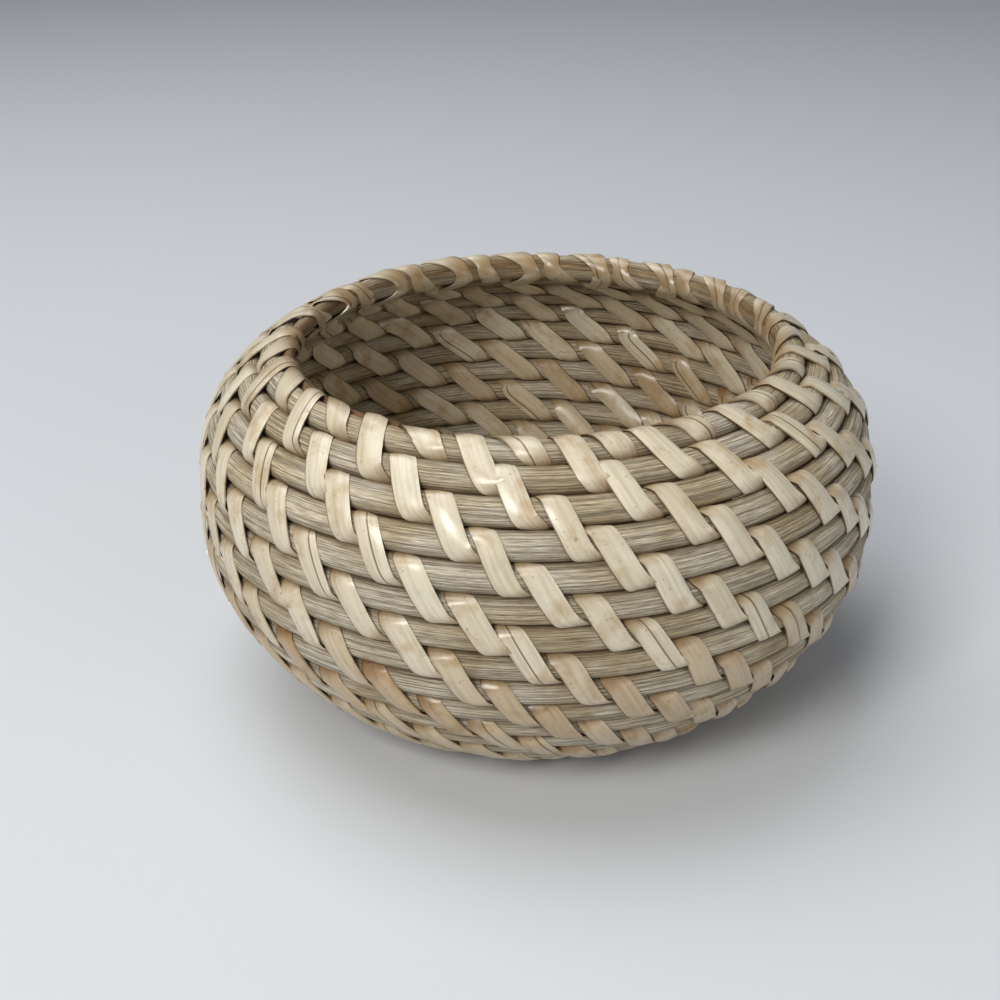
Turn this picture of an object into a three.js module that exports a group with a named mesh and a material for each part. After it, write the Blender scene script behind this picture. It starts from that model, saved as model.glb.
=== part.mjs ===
// A round coiled basket. A rattan core is wound in one continuous spiral from the
// centre of the base up to the rim, in spliced lengths. Strips of flat rattan peel lash
// each turn of the core to the turn below it. Millimetres, +Z up, origin under the
// centre of the base, on the plane that the basket stands on.
import * as THREE from "three";

// Sizes of the basket
const widestDiameter = 160; // over the lashing, at the belly
const belly = 42.4; // height of the widest place
const rimDiameter = 116.6; // across the centre line of the topmost turn of core
const rimHeight = 81.4; // height of that centre line
const footDiameter = 86.2; // the flat base, out to where the wall starts to rise
const startDiameter = 10; // the tight curl that the core starts with
const footRoundness = 1.26; // power of the curve from the foot out to the belly
const shoulderRoundness = 3.9; // power of the curve from the belly in to the rim

// The core and its lashing strip
const coreThickness = 5; // across the core, from one turn towards the next
const coreDepth = 5.6; // through the wall
const coreFlat = 2.2; // the flat that a turn shows to the next turn
const stripWidth = 4.6;
const stripThickness = 0.5;
const seatGap = 0.4; // between the core and the strip that lies between two turns
const faceGap = 0.8; // between the core and the strip on the faces of the wall
const stripLean = 27; // degrees from square across the core, on the outside
const stripGap = 0.6; // between two strips side by side

// The stitch pattern, in shares of the angle from one stitch to the next
const shortShare = 0.62; // from a stitch on the rim to the short wrap after it
const shortLean = 0.08; // how far that wrap runs round on its way down
const shiftShare = 0.4; // how much further round a row starts than the row above it
const leanShare = 0.235; // how far a stitch runs round on its way down the outside
const crossShare = (2 * shiftShare - 1 / 3 - leanShare) / 2; // round, in passing a gap
const stitchGroup = 6; // stitches in a full round come in whole groups of this many
const wallStrips = 18; // that lash the basket, from its centre up to the strip on the rim

// The splices and the end of the core
const rimAngle = 241; // degrees round from +X, where the core ends on the rim
const spliceShares = [0.26, 0.37, 0.48, 0.59, 0.692, 0.79, 0.89]; // of the coil, at each splice
const spliceLength = 6; // how far the slanting joint of a splice runs along the core
const spliceGap = 1; // along the core, inside a splice
const tailTurns = 0.3; // share of a turn over which the core is pared down at the rim
const tailShare = 0.25; // what is left of the core's thickness at its tip
const tipTurns = 0.03; // from the last stitch to the tip
const tailRise = 0.75; // turns of the profile that the tip stands above the rim height

const sectionSteps = 300; // points in each curve of the wall's section
const coreSteps = 24; // sections in one turn of the core
const endSteps = 0.35; // clear of the next section, for the slanted cut of a splice
const stripSteps = 15; // sections in one turn of a strip that lies along the core
const ringsPerStitch = 5; // of a strip, from its coming out of a gap to its going in

const peelColour = 0xd9cbab;
const coreColour = 0xa89a80;

// One turn, its strip and their gaps give the distance from turn to turn.
const pitch = coreThickness + stripThickness + 2 * seatGap;
const seat = coreThickness / 2 + seatGap; // from the core's centre line to a strip in a gap
const face = coreDepth / 2 + faceGap; // from the core's centre line to a strip on a face
const wallHalf = face + stripThickness;

// The section of the wall's centre line: flat under the base, then out and up to the
// belly, then in to the rim. It is measured by its length from the basket's axis.
function sectionPoints() {
  const foot = footDiameter / 2;
  const widest = widestDiameter / 2 - wallHalf;
  const points = [new THREE.Vector2(0, wallHalf)];
  for (let i = 0; i <= sectionSteps; i += 1) {
    const a = (i / sectionSteps) * (Math.PI / 2);
    points.push(
      new THREE.Vector2(
        foot + (widest - foot) * Math.sin(a) ** footRoundness,
        belly - (belly - wallHalf) * Math.cos(a) ** footRoundness,
      ),
    );
  }
  for (let i = 1; i <= sectionSteps; i += 1) {
    const s = Math.sin((i / sectionSteps) * (Math.PI / 2));
    points.push(
      new THREE.Vector2(
        widest - (widest - rimDiameter / 2) * s ** shoulderRoundness,
        belly + (rimHeight - belly) * s,
      ),
    );
  }
  return points;
}

const section = sectionPoints();
const sectionLengths = [0];
for (let i = 1; i < section.length; i += 1) {
  sectionLengths.push(sectionLengths[i - 1] + section[i].distanceTo(section[i - 1]));
}
const sectionLength = sectionLengths[sectionLengths.length - 1];

// A point of the section at a length from the axis, with the unit vectors along the
// section and out through the wall. Past the rim the section runs on straight.
function sectionAt(length) {
  let i = 1;
  while (i < section.length - 1 && sectionLengths[i] < length) i += 1;
  const along = section[i].clone().sub(section[i - 1]).normalize();
  const point = section[i - 1].clone().addScaledVector(along, length - sectionLengths[i - 1]);
  return { point, along, out: new THREE.Vector2(along.y, -along.x) };
}

const coilEnd = sectionLength + tailRise * pitch;
const coilTurns = (coilEnd - startDiameter / 2) / pitch;

// Places on the coil are given in turns from its start, with two offsets from the core's
// centre line: "rise" towards the next turn, and "out" through the wall.
const facetEase = (1 + 1 / Math.cos(Math.PI / coreSteps)) / 2;

function lengthAt(turn) {
  return coilEnd - (coilTurns - turn) * pitch;
}

function radiusAt(turn, rise = 0, out = 0) {
  const { point, out: normal } = sectionAt(lengthAt(turn) + rise);
  return point.x + normal.x * out;
}

function coilPoint(turn, rise, out, ease = 1) {
  const { point, out: normal } = sectionAt(lengthAt(turn) + rise);
  const radius = (point.x + normal.x * out) * ease;
  const angle =
    THREE.MathUtils.degToRad(rimAngle) + (turn - coilTurns) * 2 * Math.PI;
  return new THREE.Vector3(
    radius * Math.cos(angle),
    radius * Math.sin(angle),
    point.y + normal.y * out,
  );
}

// A closed tube through rings that have equally many points. Each side between two
// rings is split across its shorter diagonal.
function tube(rings) {
  const sides = rings[0].length;
  const points = rings.flat();
  const faces = [];
  for (let ring = 0; ring + 1 < rings.length; ring += 1) {
    for (let side = 0; side < sides; side += 1) {
      const a = ring * sides + side;
      const b = ring * sides + ((side + 1) % sides);
      const nextA = a + sides;
      const nextB = b + sides;
      if (points[a].distanceTo(points[nextB]) < points[b].distanceTo(points[nextA])) {
        faces.push(a, b, nextB, a, nextB, nextA);
      } else {
        faces.push(a, b, nextA, b, nextB, nextA);
      }
    }
  }
  const last = points.length - sides;
  for (let side = 1; side + 1 < sides; side += 1) {
    faces.push(0, side + 1, side);
    faces.push(last, last + side, last + side + 1);
  }
  const positions = points.flatMap((p) => [p.x, p.y, p.z]);
  const geometry = new THREE.BufferGeometry();
  geometry.setAttribute("position", new THREE.Float32BufferAttribute(positions, 3));
  geometry.setIndex(faces);
  geometry.computeVertexNormals();
  return geometry;
}

// The least distance between the points of two rings that are at least so many apart.
function leastGap(rings, apart) {
  let least = Infinity;
  rings.forEach((ring, i) => {
    for (const other of rings.slice(i + apart).flat()) {
      for (const point of ring) least = Math.min(least, point.distanceTo(other));
    }
  });
  return least;
}

// How much of the core's thickness is left at a place: all of it, up to the pared tail.
function coreShare(turn) {
  const tail = THREE.MathUtils.clamp((turn - coilTurns + tailTurns) / tailTurns, 0, 1);
  return 1 - (1 - tailShare) * tail;
}

// A point on the core, which runs straight from one section to the next.
function corePoint(turn, rise, out) {
  const step = Math.floor(turn * coreSteps);
  const from = coilPoint(step / coreSteps, rise, out, facetEase);
  const to = coilPoint((step + 1) / coreSteps, rise, out, facetEase);
  return from.lerp(to, turn * coreSteps - step);
}

// The core's six-sided section. A pared length keeps its seat on the turn below and
// lies towards the inside of the rim. The slant shifts the section along the core, from
// its outer face to its inner face, as the cut of a splice does.
function coreRing(turn, slant) {
  const half = coreThickness / 2;
  const share = coreShare(turn);
  const corners = [
    [0, -coreDepth / 2],
    [half, -coreFlat / 2],
    [half, coreFlat / 2],
    [0, coreDepth / 2],
    [-half, coreFlat / 2],
    [-half, -coreFlat / 2],
  ];
  return corners.map(([rise, out]) => {
    const shift = (slant * out) / coreDepth / (2 * Math.PI * radiusAt(turn));
    const paredOut = out * share - ((1 - share) * coreDepth) / 4;
    return corePoint(turn + shift, (rise + half) * share - half, paredOut);
  });
}

function coreLength(fromTurn, toTurn) {
  const isStart = fromTurn === 0;
  const isEnd = toTurn === coilTurns;
  const gapTurns = (turn) => spliceGap / 2 / (2 * Math.PI * radiusAt(turn));
  const first = isStart ? 0 : fromTurn + gapTurns(fromTurn);
  const last = isEnd ? coilTurns : toTurn - gapTurns(toTurn);
  const rings = [coreRing(first, isStart ? 0 : spliceLength)];
  const firstStep = Math.ceil(first * coreSteps + endSteps);
  const lastStep = Math.floor(last * coreSteps - endSteps);
  for (let step = firstStep; step <= lastStep; step += 1) {
    rings.push(coreRing(step / coreSteps, 0));
  }
  rings.push(coreRing(last, isEnd ? 0 : spliceLength));
  return rings;
}

// How many stitches a full round holds: on the inside three strips lie side by side in
// each spacing, at the rim as well, where the wall is narrow.
const footprint = stripWidth / Math.cos(THREE.MathUtils.degToRad(stripLean)); // along the core
const stripRoom = footprint + stripGap;
const rimRoom = Math.PI * rimDiameter - 2 * Math.PI * face;
const fullRound = stitchGroup * Math.floor(rimRoom / (3 * stripRoom) / stitchGroup);
const fullSpacing = 1 / (fullRound + shiftShare); // from stitch to stitch, in turns
const fullRadius = (3 * stripRoom) / (2 * Math.PI * fullSpacing) + face + pitch / 2;

// Towards the centre a turn gets shorter, so the angles of a stitch grow.
function growth(turn, rise = 0) {
  const below = lengthAt(turn) < sectionLength / 2;
  return below ? Math.max(1, fullRadius / radiusAt(turn, rise)) : 1;
}

// Every stitch is made where there is room on its lower side, then every second, and
// round the centre only the first of each group.
function everyHowMany(turn) {
  const needed = growth(turn, -1.5 * pitch);
  return [1, 2].find((step) => needed <= step) ?? stitchGroup;
}

function spacingAt(turn) {
  return fullSpacing * growth(turn);
}

function footprintTurns(turn, rise, out, length = footprint) {
  return length / (2 * Math.PI * radiusAt(turn, rise, out));
}

// How far short of the next stitch a strip lies halfway up the inside. It passes there
// beside a strip of the row above, which comes in through the same gap.
function laneAt(turn) {
  const room = footprintTurns(turn, -pitch / 2, -face, stripRoom);
  const beside = (leanShare + crossShare) * spacingAt(turn + 1);
  const straight = ((1 - leanShare) / 2) * spacingAt(turn);
  return Math.max(straight, shiftShare * spacingAt(turn) - beside + room);
}

// Where the stitches start, from the rim inwards. Each takes its place from the stitch
// of its own line one round further out.
function stitchTurns() {
  const smallest = pitch + seat + footprint;
  const turns = [];
  for (let i = 0; ; i += 1) {
    const above = turns[i - fullRound];
    const turn =
      above === undefined
        ? coilTurns - tipTurns - i * fullSpacing
        : above - 1 + shiftShare * spacingAt(above - 1);
    if (turn < 1 || radiusAt(turn) < smallest) return turns;
    turns.push(turn);
  }
}

const stitches = stitchTurns()
  .filter((turn, i) => (i % fullRound) % everyHowMany(turn) === 0)
  .reverse();

// A section of the strip from its two underside points, left and right of its run. The
// peel is crowned, but the rows that the basket stands on are pressed flat.
function stripRing([left, right], faceRise, faceOut, isFlat) {
  const place = ([turn, rise, out]) => coilPoint(turn, rise, out);
  const lift = ([turn, rise, out]) =>
    coilPoint(turn, rise + faceRise * stripThickness, out + faceOut * stripThickness);
  const middle = left.map((value, i) => (value + right[i]) / 2);
  return [place(left), place(right), ...(isFlat ? [lift(right), lift(left)] : [lift(middle)])];
}

// A strip that lashes each turn to the turn below it. It comes out over the upper turn,
// runs down the outside over both turns, goes in under the lower turn, and climbs inside
// to the next stitch. Where stitches are far apart it lies along the lower turn first. On
// the rim it also takes one short wrap round the topmost turn after each stitch, and lies
// on the strips of the row below on its way there.
function lashing(row, onRim) {
  const isFlat = radiusAt(row[0], -pitch) < footDiameter / 2;
  const inside = -face - (onRim ? stripThickness + stripGap : 0);
  const low = -pitch - seat;
  const rings = [];
  const across = (turn, rise, out, faceRise, faceOut) => {
    const half = footprintTurns(turn, rise, out) / 2;
    const sides = [
      [turn - half, rise, out],
      [turn + half, rise, out],
    ];
    rings.push(stripRing(sides, faceRise, faceOut, isFlat));
  };
  const along = (turn) => {
    const half = coreThickness / 2 - stripGap;
    const sides = [
      [turn, -pitch + half, inside],
      [turn, -pitch - half, inside],
    ];
    rings.push(stripRing(sides, 0, -1, isFlat));
  };
  const wrap = (turn, lean, cross, bottom) => {
    const top = seat - (onRim ? coreThickness * (1 - coreShare(turn)) : 0);
    across(turn - cross, top, inside, 1, -1);
    across(turn, top, face, 1, 1);
    if (bottom === low) across(turn + lean / 2, -pitch / 2, face, 0, 1);
    across(turn + lean, bottom, face, -1, 1);
    across(turn + lean + cross, bottom, inside, -1, -1);
  };
  row.forEach((turn, i) => {
    const spacing = spacingAt(turn);
    const lean = leanShare * spacing;
    const cross = crossShare * spacing;
    const next = row[i + 1];
    if (i === 0) across(turn - laneAt(turn), -pitch / 2, inside, 0, -1);
    wrap(turn, lean, cross, low);
    if (onRim && next) {
      wrap(turn + shortShare * spacing, shortLean * spacing, shortLean * spacing, -seat);
    } else if (everyHowMany(turn) > 1) {
      const half = footprintTurns(turn, low, inside) / 2;
      const from = turn + lean + cross + half;
      const lane = next && next - laneAt(next);
      const to = next ? lane - footprintTurns(lane, -pitch / 2, inside) / 2 : from + half;
      const steps = Math.ceil((to - from) * stripSteps);
      for (let step = 0; steps > 0 && step <= steps; step += 1) {
        along(from + (step / steps) * (to - from));
      }
      if (next) across(lane, -pitch / 2, inside, 0, -1);
    } else if (!next) {
      across(turn + lean + 2 * cross, -pitch, inside, 0, -1);
    }
  });
  return rings;
}

const core = new THREE.MeshStandardMaterial({ color: coreColour, roughness: 0.85 });
const peel = new THREE.MeshStandardMaterial({ color: peelColour, roughness: 0.45 });

function piece(name, rings, ringsPerTurn, material) {
  const mesh = new THREE.Mesh(tube(rings), material);
  mesh.name = name;
  console.log(`${name}: least gap to itself ${leastGap(rings, ringsPerTurn).toFixed(2)} mm`);
  return mesh;
}

const basket = new THREE.Group();

const spliceTurns = spliceShares.map(
  (share) => (Math.round(share * coilTurns * coreSteps) + 0.5) / coreSteps,
);
const coreEnds = [0, ...spliceTurns, coilTurns];
for (let i = 1; i < coreEnds.length; i += 1) {
  const rings = coreLength(coreEnds[i - 1], coreEnds[i]);
  basket.add(piece(`core_length_${i}`, rings, coreSteps / 2, core));
}

// The topmost round has a strip of its own, and the others share the stitches below it.
const rimStitches = stitches.filter((turn) => turn > coilTurns - 1);
const wallStitches = stitches.filter((turn) => turn <= coilTurns - 1);
for (let i = 0; i < wallStrips; i += 1) {
  const first = Math.round((i / wallStrips) * wallStitches.length);
  const last = Math.round(((i + 1) / wallStrips) * wallStitches.length);
  const name = `lashing_strip_${String(i + 1).padStart(2, "0")}`;
  const rings = lashing(wallStitches.slice(first, last), false);
  basket.add(piece(name, rings, ringsPerStitch, peel));
}
basket.add(piece("lashing_rim", lashing(rimStitches, true), ringsPerStitch, peel));

export default basket;
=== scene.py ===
"""A round coiled basket: a rattan core wound in a spiral and lashed with strips of peel."""

import math
import random
from bisect import bisect_left

import bpy
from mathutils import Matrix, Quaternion, Vector, noise


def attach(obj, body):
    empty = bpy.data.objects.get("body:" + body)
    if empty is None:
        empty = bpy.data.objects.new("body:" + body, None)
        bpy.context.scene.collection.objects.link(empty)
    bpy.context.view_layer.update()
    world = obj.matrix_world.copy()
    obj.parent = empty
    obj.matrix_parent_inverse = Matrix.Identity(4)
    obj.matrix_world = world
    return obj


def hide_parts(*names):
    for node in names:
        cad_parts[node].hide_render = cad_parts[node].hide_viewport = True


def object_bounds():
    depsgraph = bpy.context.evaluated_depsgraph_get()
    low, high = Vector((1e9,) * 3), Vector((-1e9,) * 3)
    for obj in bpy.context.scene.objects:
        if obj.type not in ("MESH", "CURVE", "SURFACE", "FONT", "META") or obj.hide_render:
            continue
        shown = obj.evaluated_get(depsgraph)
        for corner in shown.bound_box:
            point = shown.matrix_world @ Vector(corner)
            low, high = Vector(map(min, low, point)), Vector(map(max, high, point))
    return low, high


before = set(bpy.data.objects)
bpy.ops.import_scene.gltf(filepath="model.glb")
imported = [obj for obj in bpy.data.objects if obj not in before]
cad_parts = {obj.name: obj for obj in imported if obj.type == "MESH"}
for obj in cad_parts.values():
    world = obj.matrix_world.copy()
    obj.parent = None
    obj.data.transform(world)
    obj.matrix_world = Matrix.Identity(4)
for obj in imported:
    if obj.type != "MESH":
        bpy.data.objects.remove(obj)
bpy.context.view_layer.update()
bpy.ops.object.select_all(action="DESELECT")


# The camera. The photograph was taken by hand from the front, looking down a little, with
# the basket right of the middle of the picture.
PHOTO_PIXELS = 1000
FOCAL_PIXELS = 1500
SENSOR_MM = 36
CAMERA_DISTANCE = 0.3652
CAMERA_ELEVATION = math.radians(26.41)
BASKET_MIDDLE = Vector((0, 0, 0.0424))
MIDDLE_PIXEL = (535.8, 496.9)

bpy.ops.object.camera_add()
camera = bpy.context.object
camera.data.sensor_width = SENSOR_MM
camera.data.lens = SENSOR_MM * FOCAL_PIXELS / PHOTO_PIXELS
look = Vector((0, math.cos(CAMERA_ELEVATION), -math.sin(CAMERA_ELEVATION)))
sight = Vector((
    (MIDDLE_PIXEL[0] - PHOTO_PIXELS / 2) / FOCAL_PIXELS,
    (PHOTO_PIXELS / 2 - MIDDLE_PIXEL[1]) / FOCAL_PIXELS,
    -1,
))
aside = Vector((0, 0, -1)).rotation_difference(sight)
camera.location = BASKET_MIDDLE - look * CAMERA_DISTANCE
camera.rotation_mode = "QUATERNION"
camera.rotation_quaternion = look.to_track_quat("-Z", "Y") @ aside.inverted()
bpy.context.scene.camera = camera


# The core is stripped rattan, a round rod of open fibre about 6 mm thick. It is wound in one
# spiral from the centre of the base up to the rim, spliced with slanting cuts, and pared to
# a thin tail at its end. Sizes are in millimetres, as in the solids.
MM = 0.001
WIDEST_DIAMETER = 160
BELLY_HEIGHT = 42.4
RIM_DIAMETER = 116.6
RIM_HEIGHT = 81.4
FOOT_DIAMETER = 86.2
FOOT_ROUNDNESS = 1.26
SHOULDER_ROUNDNESS = 3.9
WALL_HALF = 4.1
SECTION_STEPS = 400

START_DIAMETER = 10
PITCH = 6.3
RIM_ANGLE = math.radians(241)
CORE_HALF_RISE = 3.14
CORE_HALF_OUT = 3.0
CORE_SQUARENESS = 2.4
CORE_STEPS = 96
CORE_SIDES = 20
CREASE = math.radians(50)

# Rattan is a little uneven in thickness, and in how it lies.
SWELL = 0.03
WANDER_RISE = 0.1
WANDER_OUT = 0.16

# The start of the core is rolled tighter than the even spiral, and thinner.
CURL_TURNS = 0.45
CURL_SHARE = 0.5

# Its end is pared to a quarter of its thickness, and settles on the turn below.
TAIL_TURNS = 0.3
TAIL_SHARE = 0.25
UNLASHED_SHARE = 0.62
TAIL_SWIFTNESS = 2
TAIL_RISE = 0.75
TAIL_SINK = 0.3
TAIL_OUTWARDS = 0.4

# Each splice sits midway between two sections of the solids, of which a turn has 24. Its
# slant eases in over the last six steps of a length.
SPLICE_SHARES = (0.26, 0.37, 0.48, 0.59, 0.692, 0.79, 0.89)
SOLID_STEPS = 24
SPLICE_LENGTH = 9
SPLICE_GAP = 0.3
SPLICE_EASE = 6
HOLLOW_SHARPNESS = 5

wall_points = [(0.0, WALL_HALF)]
foot = FOOT_DIAMETER / 2
widest = WIDEST_DIAMETER / 2 - WALL_HALF
for step in range(SECTION_STEPS + 1):
    angle = step / SECTION_STEPS * math.pi / 2
    wall_points.append((
        foot + (widest - foot) * math.sin(angle) ** FOOT_ROUNDNESS,
        BELLY_HEIGHT - (BELLY_HEIGHT - WALL_HALF) * max(math.cos(angle), 0) ** FOOT_ROUNDNESS,
    ))
for step in range(1, SECTION_STEPS + 1):
    share = math.sin(step / SECTION_STEPS * math.pi / 2)
    wall_points.append((
        widest - (widest - RIM_DIAMETER / 2) * share ** SHOULDER_ROUNDNESS,
        BELLY_HEIGHT + (RIM_HEIGHT - BELLY_HEIGHT) * share,
    ))
wall_lengths = [0.0]
for one, two in zip(wall_points, wall_points[1:]):
    wall_lengths.append(wall_lengths[-1] + math.dist(one, two))

coil_end = wall_lengths[-1] + TAIL_RISE * PITCH
coil_turns = (coil_end - START_DIAMETER / 2) / PITCH


def on_wall(length):
    """Radius, height, and the unit vector along the wall, at a length from the axis."""
    i = min(max(bisect_left(wall_lengths, length), 1), len(wall_points) - 1)
    (r0, z0), (r1, z1) = wall_points[i - 1], wall_points[i]
    span = wall_lengths[i] - wall_lengths[i - 1]
    along = ((r1 - r0) / span, (z1 - z0) / span)
    past = length - wall_lengths[i - 1]
    return r0 + along[0] * past, z0 + along[1] * past, along


def length_at(turn):
    """The length along the wall, from the axis to the core's centre line."""
    return coil_end - (coil_turns - turn) * PITCH


def coil_radius(turn, rise=0.0):
    radius, _, _ = on_wall(length_at(turn) + rise)
    return radius


def coil_angle(turn):
    return RIM_ANGLE + (turn - coil_turns) * 2 * math.pi


def on_coil(turn, rise, out):
    """A place by its turn, its rise towards the next turn and its way out of the wall."""
    radius, height, along = on_wall(length_at(turn) + rise)
    radius += along[1] * out
    height -= along[0] * out
    angle = coil_angle(turn)
    return Vector((radius * math.cos(angle), radius * math.sin(angle), height)) * MM


def sheet(name, along, across, place):
    """A grid whose points are moved to place(i, j), with its UV map in metres."""
    bpy.ops.mesh.primitive_grid_add(x_subdivisions=along, y_subdivisions=across, size=2)
    piece = bpy.context.object
    piece.name = name
    mesh = piece.data
    cells = [
        (round((v.co.x + 1) / 2 * along), round((v.co.y + 1) / 2 * across))
        for v in mesh.vertices
    ]
    places = {cell: place(*cell) for cell in cells}
    run = [0.0]
    for i in range(1, along + 1):
        run.append(run[-1] + (places[i, 0] - places[i - 1, 0]).length)
    width = sum((places[0, j + 1] - places[0, j]).length for j in range(across))
    uvs = mesh.uv_layers.active.data
    for loop in mesh.loops:
        i, j = cells[loop.vertex_index]
        uvs[loop.index].uv = (run[i], j / across * width)
    for vertex, cell in zip(mesh.vertices, cells):
        vertex.co = places[cell]
    return piece, cells


def paint(piece, name, values):
    """Gives every point of a piece a value that its material reads."""
    attribute = piece.data.attributes.new(name, "FLOAT", "POINT")
    for point, value in zip(attribute.data, values):
        point.value = value


def turn_outwards(crease):
    """Faces the mesh in edit mode outwards, and shades it smooth up to edges this sharp."""
    bpy.ops.mesh.select_all(action="SELECT")
    bpy.ops.mesh.normals_make_consistent(inside=False)
    bpy.ops.object.mode_set(mode="OBJECT")
    bpy.ops.object.shade_smooth_by_angle(angle=crease)


def clamped(value):
    return min(max(value, 0), 1)


def waver(turn, pace, lane):
    """A smooth, even wandering between -1 and 1 along the coil."""
    return noise.noise(Vector((turn * pace, *lane)))


def rounded(value):
    """A sine or cosine for the rod's section, which is a little fuller than a circle."""
    return math.copysign(abs(value) ** (2 / CORE_SQUARENESS), value)


def tail_share(turn):
    """How much of the core's thickness is left at a place."""
    pared = clamped((turn - coil_turns + TAIL_TURNS) / TAIL_TURNS)
    return 1 - (1 - TAIL_SHARE) * (1 - (1 - pared) ** TAIL_SWIFTNESS)


def pared_rise(rise, share):
    """Where a point of the rod comes to lie when this share of its thickness is left."""
    return (rise + CORE_HALF_RISE) * share - CORE_HALF_RISE - (1 - share) * TAIL_SINK


def core_point(turn, around):
    """A point on the core's skin, which starts and ends in the gap towards the next turn."""
    angle = math.pi / 2 + around * 2 * math.pi
    swell = 1 + SWELL * waver(turn, 4.3, (1.7, 0))
    rise = rounded(math.sin(angle)) * CORE_HALF_RISE
    out = rounded(math.cos(angle)) * CORE_HALF_OUT
    curl = clamped(0.5 - turn / (2 * CURL_TURNS)) * CURL_SHARE
    rise = rise * swell + (CORE_HALF_RISE - rise) * curl
    out *= swell * (1 - curl)
    share = tail_share(turn)
    rise = pared_rise(rise, share)
    out = out * share + (1 - share) * TAIL_OUTWARDS
    rise += WANDER_RISE * waver(turn, 3.1, (5.5, 0))
    out += WANDER_OUT * waver(turn, 3.7, (9.5, 0))
    return on_coil(turn, rise, out)


def core_length(name, start, end, is_first, is_last):
    """One length of core, with a slanting cut at each splice."""
    steps = round((end - start) * CORE_STEPS)
    slant = SPLICE_LENGTH / (2 * math.pi * coil_radius((start + end) / 2))

    def place(i, j):
        around = j / CORE_SIDES % 1
        lean = slant / 2 * math.sin(math.pi + around * 2 * math.pi)
        ease = max(0, 1 - i / SPLICE_EASE) * (not is_first)
        ease += max(0, 1 - (steps - i) / SPLICE_EASE) * (not is_last)
        return core_point(start + i / steps * (end - start) - lean * ease, around)

    piece, cells = sheet(name, steps, CORE_SIDES, place)
    left = [tail_share(start + i / steps * (end - start)) for i, _ in cells]
    paint(piece, "pared", [(1 - share) / (1 - TAIL_SHARE) for share in left])
    # How near each point lies to a gap between turns. This is the mask for painted shade with some
    # dirt.
    sideways = [abs(math.cos(j / CORE_SIDES * 2 * math.pi)) for _, j in cells]
    paint(piece, "hollow", [share ** HOLLOW_SHARPNESS for share in sideways])
    bpy.ops.object.mode_set(mode="EDIT")
    bpy.ops.mesh.select_all(action="SELECT")
    bpy.ops.mesh.remove_doubles(threshold=0.00001)
    bpy.ops.mesh.select_all(action="DESELECT")
    bpy.ops.mesh.select_non_manifold(extend=False)
    bpy.ops.mesh.fill()
    turn_outwards(CREASE)
    return piece


def new_material(name):
    material = bpy.data.materials.new(name)
    material.use_nodes = True
    tree = material.node_tree
    tree.nodes.clear()
    output = tree.nodes.new("ShaderNodeOutputMaterial")
    shader = tree.nodes.new("ShaderNodeBsdfPrincipled")
    tree.links.new(shader.outputs["BSDF"], output.inputs["Surface"])
    return material, tree, shader


def feed(tree, socket, value):
    """Links a socket to the output of another node, or sets a plain value on it."""
    if isinstance(value, bpy.types.NodeSocket):
        tree.links.new(value, socket)
    else:
        socket.default_value = value


def reckoned(tree, operation, *values):
    """The result of a sum on each point of the surface."""
    node = tree.nodes.new("ShaderNodeMath")
    node.operation = operation
    for socket, value in zip(node.inputs, values):
        feed(tree, socket, value)
    return node.outputs["Value"]


def painted(tree, name):
    """A value that the piece carries on its points."""
    node = tree.nodes.new("ShaderNodeAttribute")
    node.attribute_name = name
    return node.outputs["Fac"]


def along_and_across(tree):
    """How far along the piece and across it a point lies, in metres."""
    uv_map = tree.nodes.new("ShaderNodeUVMap")
    split = tree.nodes.new("ShaderNodeSeparateXYZ")
    tree.links.new(uv_map.outputs["UV"], split.inputs["Vector"])
    return split.outputs["X"], split.outputs["Y"]


def patches(tree, scale, detail):
    """Cloudy patches of no direction."""
    place = tree.nodes.new("ShaderNodeTexCoord")
    node = tree.nodes.new("ShaderNodeTexNoise")
    node.inputs["Scale"].default_value = scale
    node.inputs["Detail"].default_value = detail
    tree.links.new(place.outputs["Object"], node.inputs["Vector"])
    return node.outputs["Fac"]


def grey(value):
    return (value, value, value)


def coloured(tree, value, *stops):
    """A colour for every value, blended between the stops."""
    node = tree.nodes.new("ShaderNodeValToRGB")
    elements = node.color_ramp.elements
    while len(elements) < len(stops):
        elements.new(0.5)
    for element, (position, colour) in zip(elements, stops):
        element.position = position
        element.color = (*colour, 1)
    tree.links.new(value, node.inputs["Fac"])
    return node.outputs["Color"]


def stained(tree, colour, stain, factor):
    """A colour darkened by another, as much as the factor says."""
    node = tree.nodes.new("ShaderNodeMix")
    node.data_type = "RGBA"
    node.blend_type = "MULTIPLY"
    feed(tree, node.inputs["A"], colour)
    feed(tree, node.inputs["B"], stain)
    feed(tree, node.inputs["Factor"], factor)
    return node.outputs["Result"]


def roughened(tree, shader, height, strength, distance):
    """Gives the skin a fine relief."""
    node = tree.nodes.new("ShaderNodeBump")
    node.inputs["Strength"].default_value = strength
    node.inputs["Distance"].default_value = distance
    tree.links.new(height, node.inputs["Height"])
    tree.links.new(node.outputs["Normal"], shader.inputs["Normal"])


def new_group(name, inputs, output):
    """A node group with its sockets by name and kind."""
    group = bpy.data.node_groups.new(name, "ShaderNodeTree")
    for socket, kind in inputs:
        group.interface.new_socket(name=socket, in_out="INPUT", socket_type=kind)
    group.interface.new_socket(name=output[0], in_out="OUTPUT", socket_type=output[1])
    return group, group.nodes.new("NodeGroupInput"), group.nodes.new("NodeGroupOutput")


def placed(tree, group, values):
    """The output of a node group that is placed in a material with its own values."""
    node = tree.nodes.new("ShaderNodeGroup")
    node.node_tree = group
    for socket, value in values.items():
        feed(tree, node.inputs[socket], value)
    return node.outputs[0]


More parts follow.
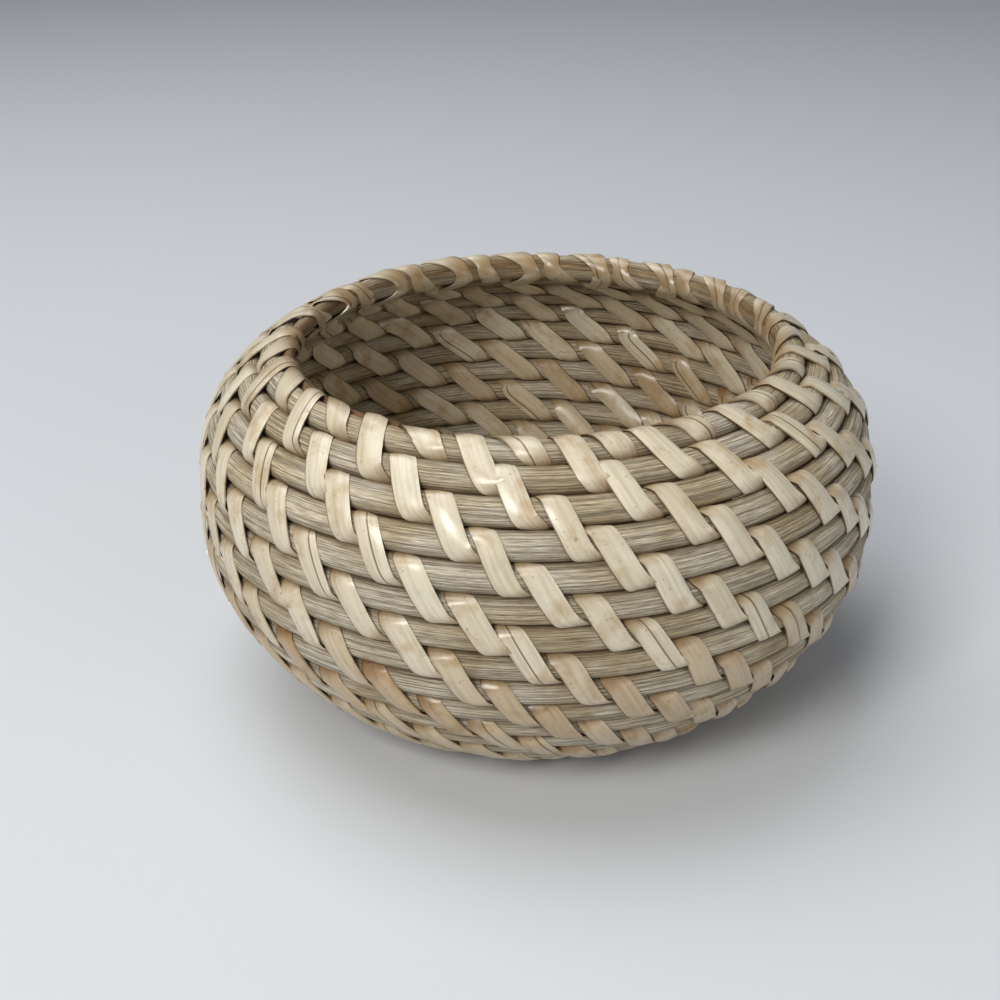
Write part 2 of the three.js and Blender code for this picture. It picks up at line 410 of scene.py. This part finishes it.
# Fibre that runs the length of the rattan, with its length and width in metres.
fibre_group, inlet, outlet = new_group(
    "rattan_fibre",
    (("Strand length", "NodeSocketFloat"), ("Strand width", "NodeSocketFloat")),
    ("Strand", "NodeSocketFloat"),
)
along, across = along_and_across(fibre_group)
join = fibre_group.nodes.new("ShaderNodeCombineXYZ")
strand_along = reckoned(fibre_group, "DIVIDE", along, inlet.outputs["Strand length"])
strand_across = reckoned(fibre_group, "DIVIDE", across, inlet.outputs["Strand width"])
fibre_group.links.new(strand_along, join.inputs["X"])
fibre_group.links.new(strand_across, join.inputs["Y"])
strands = fibre_group.nodes.new("ShaderNodeTexNoise")
strands.noise_dimensions = "2D"
strands.inputs["Scale"].default_value = 1
strands.inputs["Detail"].default_value = 4
strands.inputs["Roughness"].default_value = 0.62
fibre_group.links.new(join.outputs["Vector"], strands.inputs["Vector"])
fibre_group.links.new(strands.outputs["Fac"], outlet.inputs["Strand"])

# Painted shade, with some dirt, where rattan lies against rattan: the colour is darkened by the
# piece's hollow value.
shade_and_dirt_group, inlet, outlet = new_group(
    "shade_and_dirt_in_hollows",
    (("Colour", "NodeSocketColor"), ("Shade and dirt", "NodeSocketColor")),
    ("Colour", "NodeSocketColor"),
)
shaded_and_dirty = stained(
    shade_and_dirt_group, inlet.outputs["Colour"], inlet.outputs["Shade and dirt"], painted(shade_and_dirt_group, "hollow"),
)
shade_and_dirt_group.links.new(shaded_and_dirty, outlet.inputs["Colour"])

# The core's material: pale and dark strands, long streaks, stains, a brown cut tail, and painted
# shade with some dirt towards the gaps.
core_material, tree, shader = new_material("rattan core")
fine = placed(tree, fibre_group, {"Strand length": 0.0045, "Strand width": 0.00016})
coarse = placed(tree, fibre_group, {"Strand length": 0.07, "Strand width": 0.00048})
colour = coloured(
    tree,
    fine,
    (0.28, (0.200, 0.150, 0.095)),
    (0.42, (0.430, 0.360, 0.255)),
    (0.54, (0.565, 0.500, 0.385)),
    (0.68, (0.780, 0.730, 0.620)),
)
stains = coloured(tree, patches(tree, 55, 3), (0.38, (0.62, 0.50, 0.26)), (0.60, grey(1.0)))
streaks = coloured(tree, coarse, (0.40, grey(0.45)), (0.57, grey(1.24)))
colour = stained(tree, colour, stains, 0.55)
colour = stained(tree, colour, streaks, 0.8)
colour = stained(tree, colour, (0.55, 0.36, 0.22, 1), painted(tree, "pared"))
# Darker towards the gaps between turns: painted shade, with some dirt.
colour = placed(tree, shade_and_dirt_group, {"Colour": colour, "Shade and dirt": (0.44, 0.34, 0.22, 1)})
tree.links.new(colour, shader.inputs["Base Color"])
roughened(tree, shader, fine, 0.9, 0.0003)
shader.inputs["Roughness"].default_value = 0.72
shader.inputs["Specular IOR Level"].default_value = 0.35

splices = [
    (round(share * coil_turns * SOLID_STEPS) + 0.5) / SOLID_STEPS for share in SPLICE_SHARES
]
core_ends = [-CURL_TURNS, *splices, coil_turns]
for number, (start, end) in enumerate(zip(core_ends, core_ends[1:]), 1):
    half_gap = SPLICE_GAP / 2 / (2 * math.pi * max(coil_radius(start), START_DIAMETER))
    length = core_length(
        f"rattan_core_{number}", start + half_gap, end - half_gap,
        number == 1, number == len(core_ends) - 1,
    )
    length.data.materials.append(core_material)
    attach(length, "root")
    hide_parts(f"core_length_{number}")


# The lashing is rattan peel, flat crowned strips about 5 mm wide and a third of a millimetre
# thick. Each stitch comes out over one turn of core, runs down over it and the turn below,
# goes in, and climbs inside to the next stitch. The worker's hand drifts a little.
STRIP_WIDTH = 5.3
STRIP_THICKNESS = 0.34
STRIP_CROWN = 0.5
ACROSS = 8
SUBSTEPS = 4
STRIP_CREASE = math.radians(55)

# A strip lies on the core, bows a little off it between two rods, narrows where it tucks
# into a gap, and overlaps its neighbour inside.
OVER_RISE = PITCH / 2
OVER_OUT = CORE_HALF_OUT + STRIP_THICKNESS / 2 + STRIP_CROWN / 3
BOW = 0.1
TUCK = 0.42
SHINGLE = math.radians(5)
RIM_CLEARANCE = 0.25
RUN_MARGIN = 0.2
LONGEST_STEP = 12

# A full round has 18 stitches, and those of the next turn down are set a little further on.
# Towards the centre of the base there is only room for fewer.
FULL_ROUND = 18
SHIFT_SHARE = 0.4
TIP_TURNS = 0.03
FULL_RADIUS = 57
INNERMOST_RADIUS = 13.7
STITCH_GROUP = 6
WALL_STRIPS = 18
SOLID_CROWDING = 1
CROWDING = 1.7

# Shares of the spacing of the stitches: how far a long stitch leans outside and moves on as
# it comes out or goes in, and where a short wrap of the rim starts and how far it leans.
LEAN_SHARE = 0.31
LEAN_RANGE = (0.9, 1.12)
CROSS_SHARE = 0.15
CREST_CROSS = 0.45
WRAP_SHARE = 0.25
WRAP_LEAN_SHARE = 0.48
WRAP_LEAN_RANGE = (0.92, 1.08)
WRAP_LEAD = 0.1
WRAP_KNOTS = 8

# Angles round a rod, in degrees: 0 is outside, 90 towards the next turn and 180 inside.
CREST = 90
INNER_EDGE = 132
FULL_CIRCLE = 360

# The drift of the hand, in degrees round the basket.
DRIFT_START = -2.3
DRIFT_A_ROUND = 0.45
DRIFT_ROUNDS = 12
DRIFT_SIDEWAYS = 4
RIM_TURNS = 1.1
RIM_SWIFTNESS = 10
RIM_DRIFT = -1.3
RIM_SLIP = 5.4
RIM_SLIP_START = 3
RIM_SLIP_SPAN = 28
JITTER = 0.35

# Strips differ in width and tone, and some are split along their length. They are browner
# low on the basket.
WIDTH_RANGE = (0.93, 1.07)
SPLIT_CHANCE = 0.16
WRAP_SPLIT_CHANCE = 0.6
SPLIT_PLACES = (0.36, 0.44, 0.6)
PALE_TONE = 0.12
TONE_RANGE = (-0.1, 0.12)
TONE_SHARE = 0.5
BROWN_TURNS_DOWN = 5.5
BROWN_OVER_TURNS = 3

spacing = 1 / (FULL_ROUND + SHIFT_SHARE)
thin_tail = coil_turns - TAIL_TURNS * UNLASHED_SHARE
chance = random.Random(7)


def growth(turn, rise=0.0):
    """Towards the centre a turn gets shorter, so the angles of a stitch grow."""
    if length_at(turn) > wall_lengths[-1] / 2:
        return 1
    return max(1, FULL_RADIUS / coil_radius(turn, rise))


def every_how_many(turn, crowding):
    """One, two or six: which stitches of a full round there is room for."""
    needed = growth(turn, -1.5 * PITCH) / crowding
    return 1 if needed <= 1 else 2 if needed <= 2 else STITCH_GROUP


def stitch_turns(crowding):
    """Where the stitches start, from the centre out."""
    turns = []
    while True:
        i = len(turns)
        if i < FULL_ROUND:
            turn = coil_turns - TIP_TURNS - i * spacing
        else:
            above = turns[i - FULL_ROUND] - 1
            turn = above + SHIFT_SHARE * spacing * growth(above)
        if turn < 1 or coil_radius(turn) < INNERMOST_RADIUS:
            break
        turns.append(turn)
    kept = [t for i, t in enumerate(turns) if i % FULL_ROUND % every_how_many(t, crowding) == 0]
    return kept[::-1]


def eased(value):
    """From 0 to 1, slow at both ends."""
    share = clamped(value)
    return share * share * (3 - 2 * share)


def hand_drift(turn):
    """How far round, in turns, the worker set a stitch from its even place."""
    from_front = coil_angle(turn) + math.pi / 2
    rounds_down = min(coil_turns - turn, DRIFT_ROUNDS)
    wall_drift = DRIFT_START + DRIFT_A_ROUND * rounds_down
    wall_drift -= DRIFT_SIDEWAYS * math.sin(from_front)
    slipped = eased((math.degrees(from_front) - RIM_SLIP_START) / RIM_SLIP_SPAN)
    rim_drift = RIM_DRIFT - RIM_SLIP * slipped
    rim_share = eased((turn - thin_tail + RIM_TURNS) * RIM_SWIFTNESS)
    return (wall_drift + rim_share * (rim_drift - wall_drift)) / FULL_CIRCLE


def on_core(rod_rise, angle, top=0.0):
    """Rise and way out of a strip that goes round a rod, and the angle that it faces there."""
    sine, cosine = math.sin(math.radians(angle)), math.cos(math.radians(angle))
    rise = rod_rise + rounded(sine) * OVER_RISE
    rise += top * max(sine, 0)
    return rise, rounded(cosine) * OVER_OUT, angle


def is_on_rim(turn):
    return turn > thin_tail - 1


def top_of(turn):
    """How much higher than a seam a strip passes, over the rim or the thin tail on it."""
    if not is_on_rim(turn):
        return 0
    if turn > coil_turns - 1:
        return RIM_CLEARANCE
    share = tail_share(turn + 1)
    return RIM_CLEARANCE + share * 2 * CORE_HALF_RISE - (1 - share) * TAIL_SINK


def settled(turn, rise, out):
    """Where the topmost rod is pared, its lashing lies on what is left of it."""
    share = tail_share(turn)
    if rise < -CORE_HALF_RISE:
        return rise, out
    clear = out / OVER_OUT * (OVER_OUT - CORE_HALF_OUT)
    return pared_rise(rise, share), (out - clear) * share + clear + (1 - share) * TAIL_OUTWARDS


def inside_run(start, end, low, high):
    """Knots of a run that climbs on the inside of the wall."""
    steps = max(1, math.ceil((end - start) * 2 * math.pi * coil_radius(start) / LONGEST_STEP))
    knots = []
    for step in range(steps + 1):
        share = RUN_MARGIN + (1 - 2 * RUN_MARGIN) * step / steps
        out = -OVER_OUT - BOW * math.sin(math.pi * share)
        knots.append((start + share * (end - start), low + (high - low) * share, out, -180))
    return knots


def coming_out(turn, facing=0):
    """Knots where a strip comes from inside, over the top of a rod, to start a stitch."""
    cross = CROSS_SHARE * spacing * growth(turn)
    top = top_of(turn)
    return [
        (turn - cross, *on_core(0, facing + INNER_EDGE, top)),
        (turn - CREST_CROSS * cross, *on_core(0, facing + CREST, top)),
    ]


def long_stitch(turn, until):
    """Knots of one stitch over two rods, and of the run inside that leads to the next."""
    grown = spacing * growth(turn)
    lean = LEAN_SHARE * grown * chance.uniform(*LEAN_RANGE)
    cross = CROSS_SHARE * grown
    top = top_of(turn)
    knots = [
        *coming_out(turn),
        (turn, *on_core(0, 48, top)),
        (turn + 0.15 * lean, *on_core(0, 14, top)),
        (turn + 0.45 * lean, -PITCH / 2, OVER_OUT + BOW, 0),
        (turn + 0.76 * lean, *on_core(-PITCH, -14)),
        (turn + lean, *on_core(-PITCH, -50)),
        (turn + lean + 0.6 * cross, *on_core(-PITCH, -CREST)),
    ]
    if until is None:
        return knots
    start = turn + lean + (0.75 if is_on_rim(turn) else 1) * cross
    knots.append((start, *on_core(-PITCH, -INNER_EDGE)))
    return knots + inside_run(start, until, -PITCH - OVER_RISE / 2, OVER_RISE / 2)


def short_wrap(begin, until):
    """Knots of one wrap round the topmost rod alone, between two long stitches."""
    lean = WRAP_LEAN_SHARE * spacing * chance.uniform(*WRAP_LEAN_RANGE)
    top = top_of(begin)
    end = begin + 1.06 * lean
    return [
        (begin - WRAP_LEAD * lean, *on_core(0, 140, top)),
        (begin, *on_core(0, 96, top)),
        (begin + 0.36 * lean, *on_core(0, 52, top)),
        (begin + 0.66 * lean, *on_core(0, 10, top)),
        (begin + 0.86 * lean, *on_core(0, -35)),
        (begin + lean, *on_core(0, -CREST)),
        (end, *on_core(0, -145)),
        ((end + until) / 2, 0, -OVER_OUT, -180),
    ]


def stitches_of(row, following):
    """The stitches of one strip, with the short wraps that come between them on the rim.
    Its last run inside leads to where the strip that follows it starts."""
    stitches = []
    for turn, next_turn in zip(row, [*row[1:], following]):
        if next_turn is None:
            stitches.append(long_stitch(turn, None))
            continue
        until = next_turn - CROSS_SHARE * spacing * growth(next_turn)
        if is_on_rim(turn):
            wrap = turn + WRAP_SHARE * spacing
            stitches.append(long_stitch(turn, wrap - WRAP_LEAD * WRAP_LEAN_SHARE * spacing))
            stitches.append(short_wrap(wrap, until))
        else:
            stitches.append(long_stitch(turn, until))
    stitches[0] = stitches[0][1:]
    if following is not None:
        stitches[-1] += coming_out(following, -FULL_CIRCLE)
    return stitches


def strip_run(stitches):
    """Every knot of a strip: its place and the angle it faces, then its width, tone and split."""
    run = []
    for turned, knots in enumerate(stitches):
        width = STRIP_WIDTH * chance.uniform(*WIDTH_RANGE)
        start = knots[0][0]
        lower_down = clamped((coil_turns - start - BROWN_TURNS_DOWN) / BROWN_OVER_TURNS)
        slow = waver(start, 2.3, (0.5, 3.5))
        tone = PALE_TONE + TONE_SHARE * (lower_down + slow) + chance.uniform(*TONE_RANGE)
        is_wrap = len(knots) == WRAP_KNOTS
        is_split = chance.random() < (WRAP_SPLIT_CHANCE if is_wrap else SPLIT_CHANCE)
        groove = chance.choice(SPLIT_PLACES) if is_split else 0.0
        jitter = chance.gauss(0, JITTER) / FULL_CIRCLE
        for turn, rise, out, faces in knots:
            place = turn + hand_drift(turn) + jitter
            rise, out = settled(place, rise, out)
            run.append((place, rise, out, faces - FULL_CIRCLE * turned, width, tone, groove))
    return run


def smooth(a, b, c, d, share):
    """Between b and c on a curve through four values."""
    return 0.5 * (
        2 * b + (c - a) * share + (2 * a - 5 * b + 4 * c - d) * share ** 2
        + (3 * b - a - 3 * c + d) * share ** 3
    )


def strip(name, run):
    """A flat strip of peel laid along its knots, crowned and given its thickness."""
    # The first five values of a knot are blended with its neighbours', tone and split aren't.
    stations = []
    last = len(run) - 1
    for i in range(last):
        ends = [run[max(i - 1, 0)], run[i], run[i + 1], run[min(i + 2, last)]]
        for sub in range(SUBSTEPS):
            share = sub / SUBSTEPS
            station = [smooth(*values, share) for values in list(zip(*ends))[:5]]
            stations.append([*station, *run[i][5:]])
    stations.append(list(run[last]))
    centres = [on_coil(*station[:3]) for station in stations]
    rows = []
    for i, station in enumerate(stations):
        turn, rise, out, faces, width = station[:5]
        ahead = centres[min(i + 1, len(centres) - 1)] - centres[max(i - 1, 0)]
        _, _, along = on_wall(length_at(turn) + rise)
        angle = coil_angle(turn)
        radial = Vector((math.cos(angle), math.sin(angle), 0))
        climb = radial * along[0] + Vector((0, 0, along[1]))
        outward = radial * along[1] - Vector((0, 0, along[0]))
        up, outside = math.sin(math.radians(faces)), math.cos(math.radians(faces))
        facing = climb * up + outward * outside
        across = facing.cross(ahead).normalized()
        facing = ahead.cross(across).normalized()
        tilt = Quaternion(ahead.normalized(), SHINGLE * max(0, -outside))
        across.rotate(tilt)
        facing.rotate(tilt)
        # The edge that turns into a gap first is drawn in, so the ends look pointed.
        leading = clamped(0.5 + 2 * outside)
        over, under = max(0, up) ** 1.5, max(0, -up) ** 1.5
        left = 1 - TUCK * (under * leading + over * (1 - leading))
        right = 1 - TUCK * (over * leading + under * (1 - leading))
        rows.append((centres[i], across, facing, left * width / 2, right * width / 2, up ** 2))

    def place(i, j):
        centre, across, facing, left, right, _ = rows[i]
        q = 2 * j / ACROSS - 1
        aside = q * (left if q < 0 else right)
        return centre + (across * aside + facing * STRIP_CROWN * (0.5 - q * q)) * MM

    piece, cells = sheet(name, len(rows) - 1, ACROSS, place)
    paint(piece, "tone", [stations[i][5] for i, _ in cells])
    paint(piece, "groove", [stations[i][6] for i, _ in cells])
    # How far the strip has turned into a gap. This is the mask for painted shade with some dirt.
    paint(piece, "hollow", [rows[i][5] for i, _ in cells])
    thickness = piece.modifiers.new("thickness", "SOLIDIFY")
    thickness.thickness = STRIP_THICKNESS * MM
    thickness.offset = 0
    bpy.ops.object.modifier_apply(modifier="thickness")
    bpy.ops.object.mode_set(mode="EDIT")
    turn_outwards(STRIP_CREASE)
    return piece


# The peel's material: cream to tan by its tone, with fine fibre, clouds and dark specks.
# Its edges are darker, partly their own browner colour and partly painted shade, and a split shows
# as a dark line.
peel_material, tree, shader = new_material("rattan peel")
hair = placed(tree, fibre_group, {"Strand length": 0.02, "Strand width": 0.0008})
cloud = patches(tree, 160, 4)
_, across = along_and_across(tree)
width_share = reckoned(tree, "DIVIDE", across, STRIP_WIDTH * MM)
off_split = reckoned(tree, "SUBTRACT", width_share, painted(tree, "groove"))
from_split = reckoned(tree, "ABSOLUTE", off_split)
# The colour at the strip's edges: partly their own browner colour, partly painted shade.
BROWN_AND_SHADED_EDGE = (0.62, 0.52, 0.38)
WHITE = grey(1.0)
colour = coloured(
    tree,
    painted(tree, "tone"),
    (0.0, (0.670, 0.605, 0.465)),
    (0.3, (0.615, 0.540, 0.400)),
    (0.65, (0.530, 0.430, 0.285)),
    (1.0, (0.470, 0.345, 0.205)),
)
hairs = coloured(tree, hair, (0.30, (0.74, 0.68, 0.59)), (0.56, WHITE))
clouds = coloured(
    tree,
    cloud,
    (0.32, (0.74, 0.62, 0.47)),
    (0.47, WHITE),
    (0.60, WHITE),
    (0.72, (0.88, 0.90, 0.88)),
)
# The edges are darker: partly their own browner colour, partly painted shade where the edge meets
# what it lies on.
edges = coloured(tree, width_share, (0.0, BROWN_AND_SHADED_EDGE), (0.06, WHITE), (0.94, WHITE), (1.0, BROWN_AND_SHADED_EDGE))
splits = coloured(tree, from_split, (0.008, (0.26, 0.18, 0.10)), (0.045, WHITE))
specks = coloured(tree, patches(tree, 900, 2), (0.27, (0.40, 0.28, 0.17)), (0.33, WHITE))
for stain, factor in ((hairs, 0.7), (clouds, 0.8), (edges, 0.75), (splits, 1), (specks, 0.5)):
    colour = stained(tree, colour, stain, factor)
# Darker where the strip turns into a gap: painted shade, with some dirt.
colour = placed(tree, shade_and_dirt_group, {"Colour": colour, "Shade and dirt": (0.50, 0.39, 0.27, 1)})
gloss = coloured(tree, cloud, (0.3, grey(0.44)), (0.65, grey(0.28)))
tree.links.new(colour, shader.inputs["Base Color"])
tree.links.new(gloss, shader.inputs["Roughness"])
roughened(tree, shader, reckoned(tree, "MULTIPLY", hair, splits), 0.35, 0.0001)
shader.inputs["Coat Weight"].default_value = 0.35
shader.inputs["Coat Roughness"].default_value = 0.22


def finish_strip(piece, node):
    piece.data.materials.append(peel_material)
    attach(piece, "root")
    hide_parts(node)


# Each strip ends where the strip of the solids does, though it has more stitches in the base.
solid_stitches = [t for t in stitch_turns(SOLID_CROWDING) if t <= coil_turns - 1]
wall_stitches = [t for t in stitch_turns(CROWDING) if t <= coil_turns - 1]
rim_stitches = [t for t in stitch_turns(SOLID_CROWDING) if coil_turns - 1 < t < thin_tail]
first = 0
for number in range(1, WALL_STRIPS + 1):
    solid_last = round(number / WALL_STRIPS * len(solid_stitches))
    reach = solid_stitches[solid_last] if solid_last < len(solid_stitches) else coil_turns
    last = bisect_left(wall_stitches, reach)
    following = [*wall_stitches, *rim_stitches][last]
    run = strip_run(stitches_of(wall_stitches[first:last], following))
    finish_strip(strip(f"lashing_{number:02d}", run), f"lashing_strip_{number:02d}")
    first = last

rim_run = strip_run(stitches_of(rim_stitches, None))
finish_strip(strip("lashing_around_rim", rim_run), "lashing_rim")


# The stage: a plain pale floor, and soft light from a window at the front left, from above
# and from the right.
FLOOR_SIZE = 6

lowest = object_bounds()[0][2]
bpy.ops.mesh.primitive_plane_add(size=FLOOR_SIZE, location=(0, 0, lowest))
floor = bpy.context.object
floor.name = "floor"
floor_material, _, shader = new_material("pale floor")
shader.inputs["Base Color"].default_value = (0.62, 0.64, 0.67, 1)
shader.inputs["Roughness"].default_value = 0.85
floor.data.materials.append(floor_material)

world = bpy.data.worlds.new("soft daylight")
bpy.context.scene.world = world
world.use_nodes = True
background = world.node_tree.nodes["Background"]
background.inputs["Color"].default_value = (0.80, 0.86, 0.95, 1)
background.inputs["Strength"].default_value = 0.2

for name, place, size, power, colour in (
    ("window", (-0.46, -0.82, 0.80), 0.45, 9.2, (1.0, 0.98, 0.94)),
    ("ceiling", (-0.35, 0.15, 1.2), 0.9, 9.5, (0.98, 0.98, 0.97)),
    ("room", (0.95, -0.95, 0.42), 0.7, 3.2, (1.0, 0.98, 0.94)),
):
    bpy.ops.object.light_add(type="AREA", location=place)
    light = bpy.context.object
    light.name = name
    light.data.size = size
    light.data.energy = power
    light.data.color = colour
    light.rotation_mode = "QUATERNION"
    light.rotation_quaternion = (BASKET_MIDDLE - Vector(place)).to_track_quat("-Z", "Y")
bpy.context.scene.view_settings.view_transform = "Standard"
